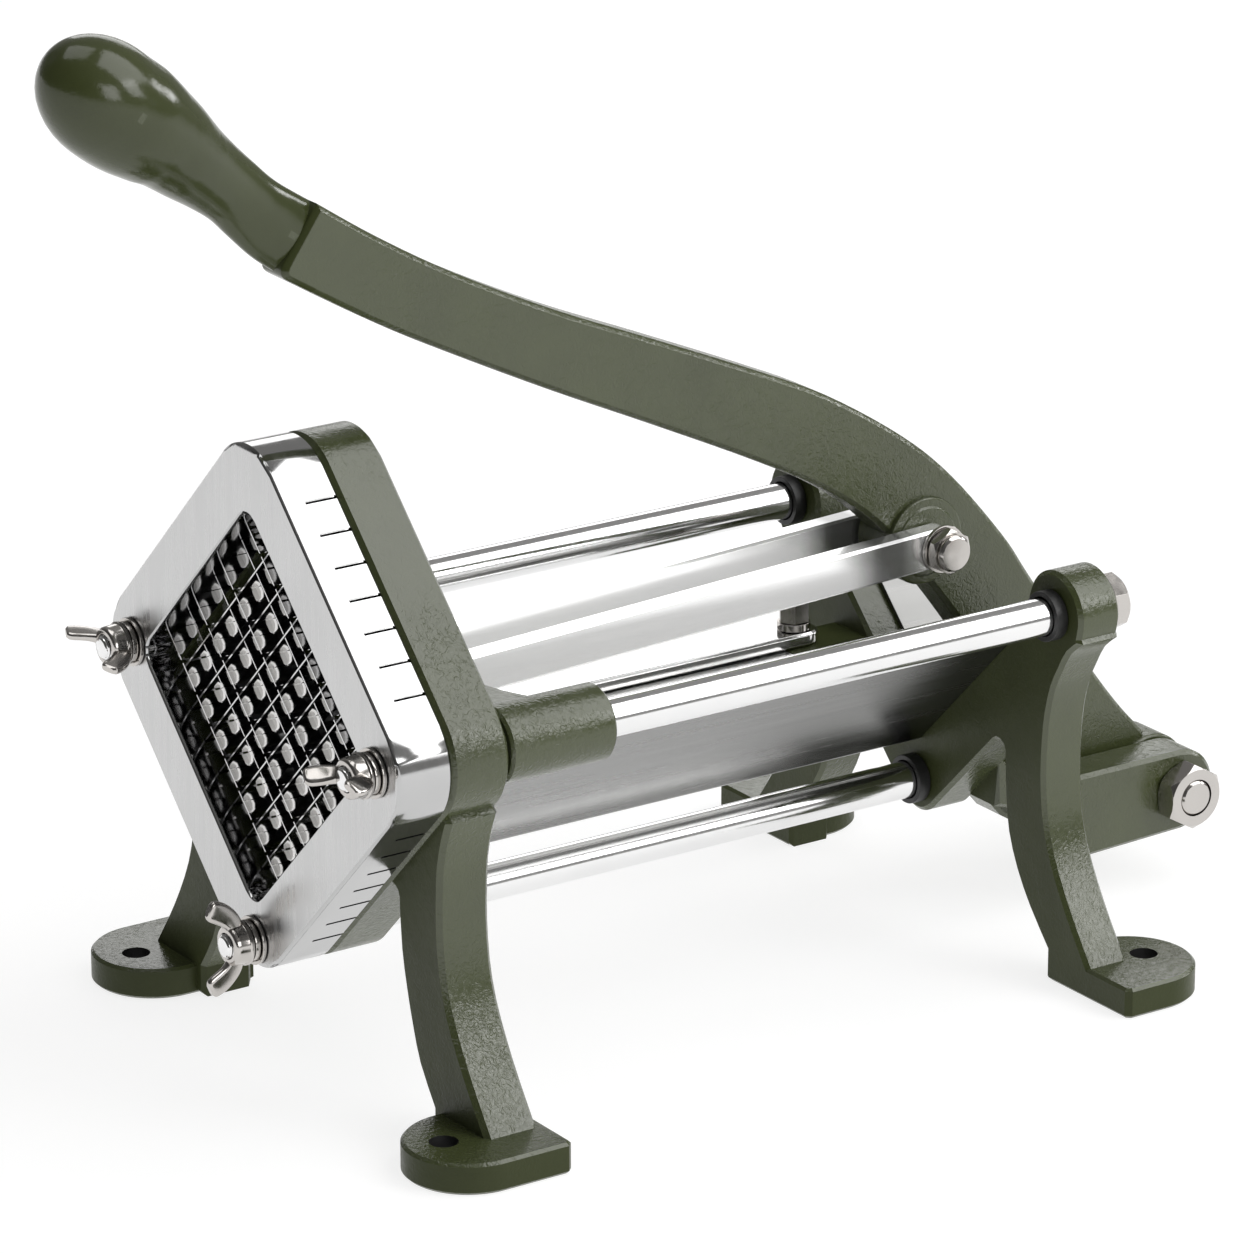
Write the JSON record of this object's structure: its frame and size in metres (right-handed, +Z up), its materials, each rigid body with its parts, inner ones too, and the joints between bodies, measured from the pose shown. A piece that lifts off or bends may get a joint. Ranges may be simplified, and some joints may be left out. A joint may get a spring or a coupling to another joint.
{
  "type": "lever-operated french fry cutter",
  "caption": "Bench-top potato cutter: a lever and links drive a pin pusher on two guide rods through a diamond-set blade grid; cast frames on splayed legs with bolt-down feet.",
  "frame": {"origin": "bottom centre of the cutter's box at rest, on the bench plane, in the middle plane of the lever", "axes": "+Z up, +Y from the blades back to the lever pivot, +X to the right of a person who looks along +Y"},
  "size_m": [0.1894, 0.3556, 0.2848],
  "materials": {
    "enamel": "glossy dark olive-green enamel on cast metal, slightly rough from the casting",
    "polished_steel": "polished stainless",
    "brushed_steel": "satin stainless sheet",
    "nickel": "bright nickel plating",
    "cast_aluminium": "fine cast aluminium",
    "black_plastic": "matt black"
  },
  "bodies": {
    "stand": {"front_frame": "enamel", "rear_frame": "enamel", "blade_pan": "polished_steel", "blade_rising_1": "polished_steel", "blade_rising_2": "polished_steel", "blade_rising_3": "polished_steel", "blade_rising_4": "polished_steel", "blade_rising_5": "polished_steel", "blade_rising_6": "polished_steel", "blade_rising_7": "polished_steel", "blade_falling_1": "polished_steel", "blade_falling_2": "polished_steel", "blade_falling_3": "polished_steel", "blade_falling_4": "polished_steel", "blade_falling_5": "polished_steel", "blade_falling_6": "polished_steel", "blade_falling_7": "polished_steel", "guide_rod_left": "polished_steel", "washer_left": "nickel", "spring_washer_left": "nickel", "rod_collar_left": "black_plastic", "rod_bolt_left": "nickel", "guide_rod_right": "polished_steel", "washer_right": "nickel", "spring_washer_right": "nickel", "rod_collar_right": "black_plastic", "rod_bolt_right": "nickel", "tie_rod_bottom": "polished_steel", "washer_bottom": "nickel", "spring_washer_bottom": "nickel", "rod_collar_bottom": "black_plastic", "rod_bolt_bottom": "nickel", "trough": "brushed_steel", "trough_rail": "polished_steel", "rail_screw_front": "nickel", "rail_washer_rear": "nickel", "rail_bolt_rear": "nickel", "guard_plate_left": "brushed_steel", "guard_plate_right": "brushed_steel", "pivot_bolt": "nickel", "pivot_nut": "nickel"},
    "lever_arm": {"lever": "enamel", "link_bolt": "nickel", "link_nut": "nickel", "link_washer_left": "nickel", "link_washer_right": "nickel"},
    "link_pair": {"link_left": "polished_steel", "link_right": "polished_steel", "front_pin_left": "nickel", "front_pin_right": "nickel"},
    "pusher": {"carriage": "enamel", "sleeve_bush_left": "black_plastic", "sleeve_bush_right": "black_plastic", "pusher_block": "cast_aluminium", "block_screw_upper": "nickel", "block_screw_lower": "nickel"},
    "nut_left": {"wing_nut_left": "nickel"},
    "nut_right": {"wing_nut_right": "nickel"},
    "nut_bottom": {"wing_nut_bottom": "nickel"}
  },
  "joints": [
    {"name": "lever_pivot", "type": "hinge", "parent": "stand", "child": "lever_arm", "pos_m": [0, 0.1654, 0.0257], "axis": [-1, 0, 0], "range_deg": [0, 70]},
    {"name": "link_pivot", "type": "hinge", "parent": "lever_arm", "child": "link_pair", "pos_m": [0, 0.0856, 0.1103], "axis": [-1, 0, 0], "range_deg": [-77.18, 0]},
    {"name": "pusher_slide", "type": "slide", "parent": "stand", "child": "pusher", "axis": [0, 1, 0], "range_m": [0, 0.13405]},
    {"name": "wing_nut_left_turn", "type": "hinge", "parent": "stand", "child": "nut_left", "pos_m": [-0.05908, -0.1289, 0.1037], "axis": [0, 1, 0], "continuous": true},
    {"name": "wing_nut_right_turn", "type": "hinge", "parent": "stand", "child": "nut_right", "pos_m": [0.05908, -0.1289, 0.1037], "axis": [0, 1, 0], "continuous": true},
    {"name": "wing_nut_bottom_turn", "type": "hinge", "parent": "stand", "child": "nut_bottom", "pos_m": [0, -0.1289, 0.03962], "axis": [0, 1, 0], "continuous": true}
  ],
  "couplings": [
    {"joint": "pusher_slide", "follows": "lever_pivot", "m_per_rad": 0.10972},
    {"joint": "link_pivot", "follows": "lever_pivot", "ratio": -1.1026}
  ]
}
